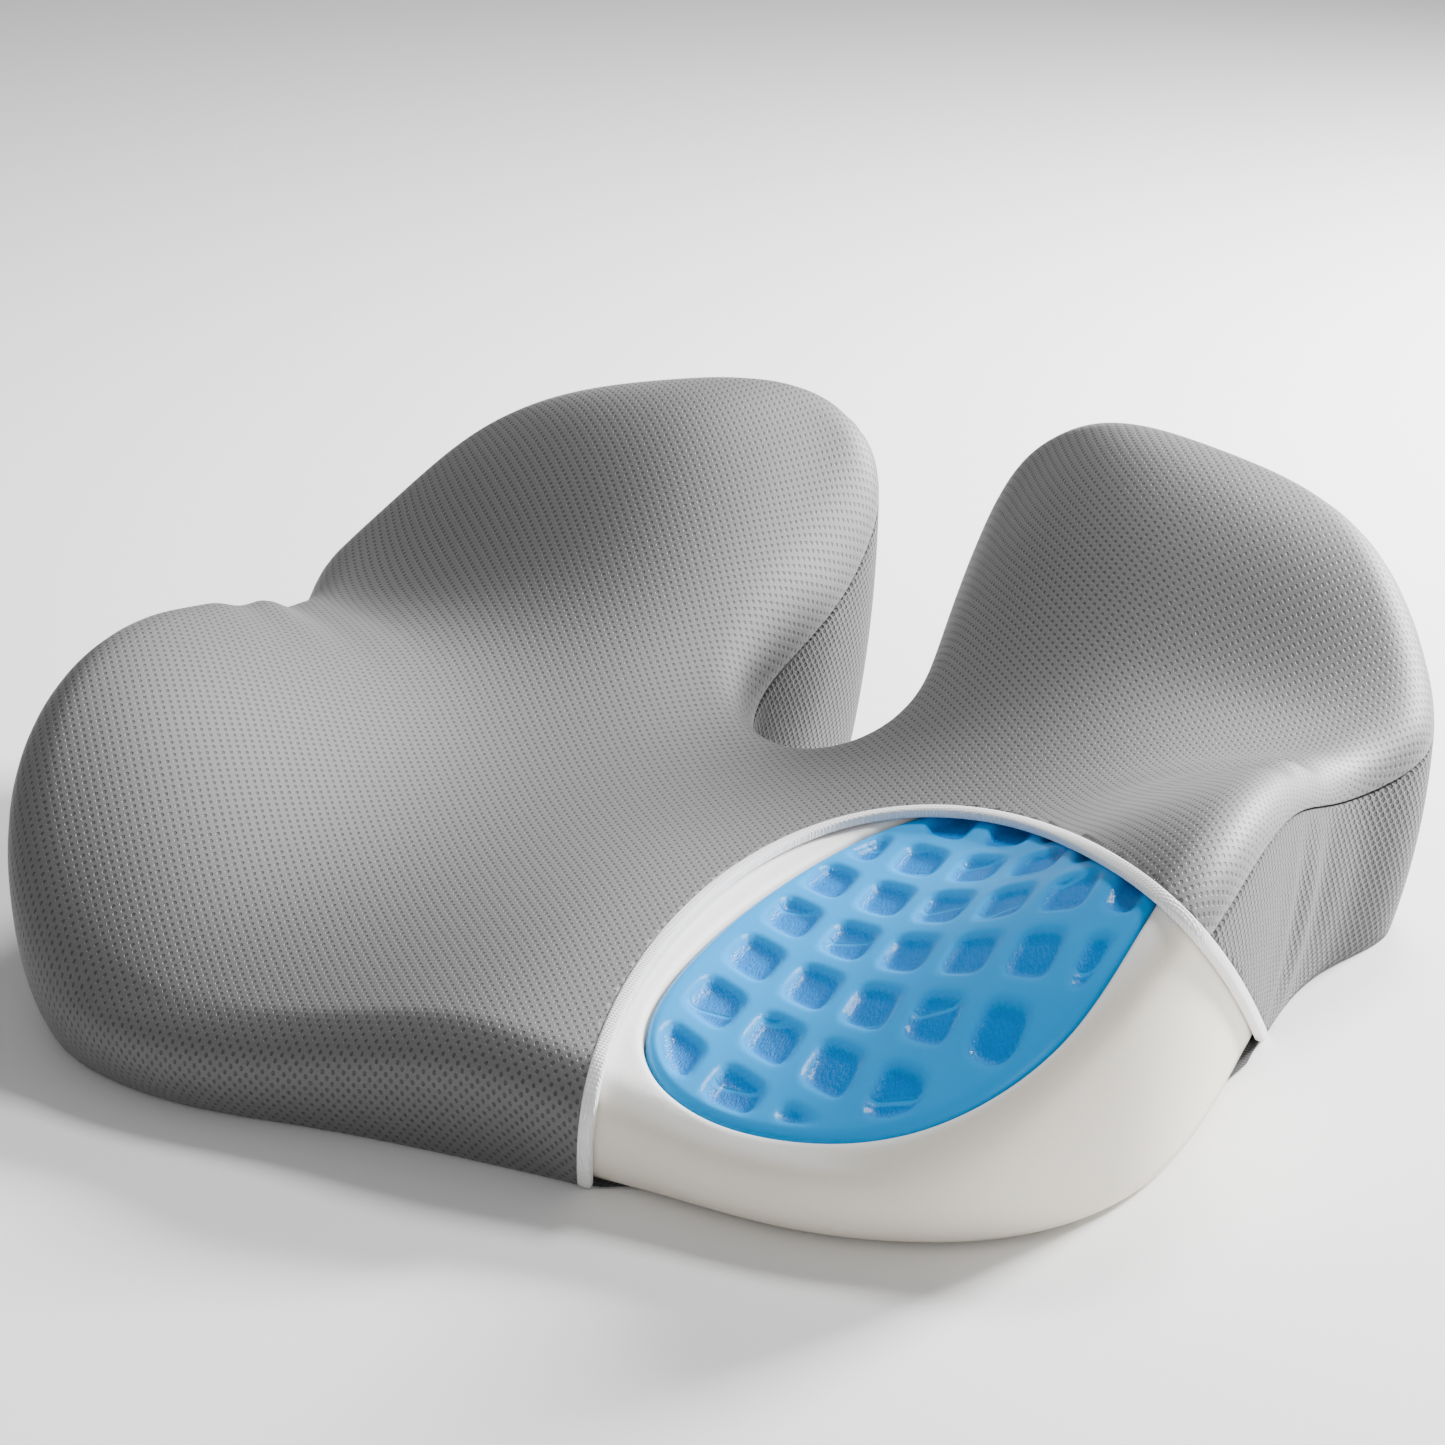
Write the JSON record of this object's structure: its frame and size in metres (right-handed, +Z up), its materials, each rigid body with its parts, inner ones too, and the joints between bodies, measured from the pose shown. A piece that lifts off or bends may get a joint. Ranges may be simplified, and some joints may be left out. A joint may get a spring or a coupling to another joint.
{
  "type": "contoured gel seat cushion",
  "caption": "Contoured foam seat cushion with thigh channels, a tailbone notch, gel pads, and a zip-off mesh cover with a round window over the foam and gel.",
  "frame": {"origin": "on the floor under the centre of the cushion", "axes": "+Z up, +Y towards the back edge with the tailbone notch, +X to the sitter's right"},
  "size_m": [0.4382, 0.4085, 0.1482],
  "materials": {
    "foam": "matte moulded foam",
    "gel": "glossy translucent gel",
    "mesh_top": "spacer mesh with dark pores",
    "mesh_side": "coarse diagonal knit",
    "binding": "woven tape",
    "base_cloth": "plain weave with grip dots",
    "zip_tape": "woven tape",
    "zip_plastic": "moulded",
    "thread": "spun thread",
    "slider_metal": "die cast, satin"
  },
  "bodies": {
    "cushion": {"foam_core": "foam", "gel_pad_right": "gel", "gel_pad_left": "gel", "cover_top_panel": "mesh_top", "cover_side_band": "mesh_side", "window_binding": "binding", "cover_base_front": "base_cloth", "cover_base_rear": "base_cloth", "zip_tape_front": "zip_tape", "zip_tape_rear": "zip_tape", "zip_teeth_front": "zip_plastic", "zip_teeth_rear": "zip_plastic", "zip_top_stop_front": "zip_plastic", "zip_top_stop_rear": "zip_plastic", "zip_bottom_stop": "zip_plastic", "zip_stitching_front": "thread", "zip_stitching_rear": "thread"},
    "slider": {"slider_body": "slider_metal", "slider_bridge": "slider_metal"},
    "tab": {"pull_tab": "slider_metal"}
  },
  "joints": [
    {"name": "zip_slide", "type": "slide", "parent": "cushion", "child": "slider", "axis": [-1, 0, 0], "range_m": [0, 0.278]},
    {"name": "tab_hinge", "type": "hinge", "parent": "slider", "child": "tab", "pos_m": [0.138, -0.03, 0.0043], "axis": [0, -1, 0], "range_deg": [0, 175]}
  ]
}
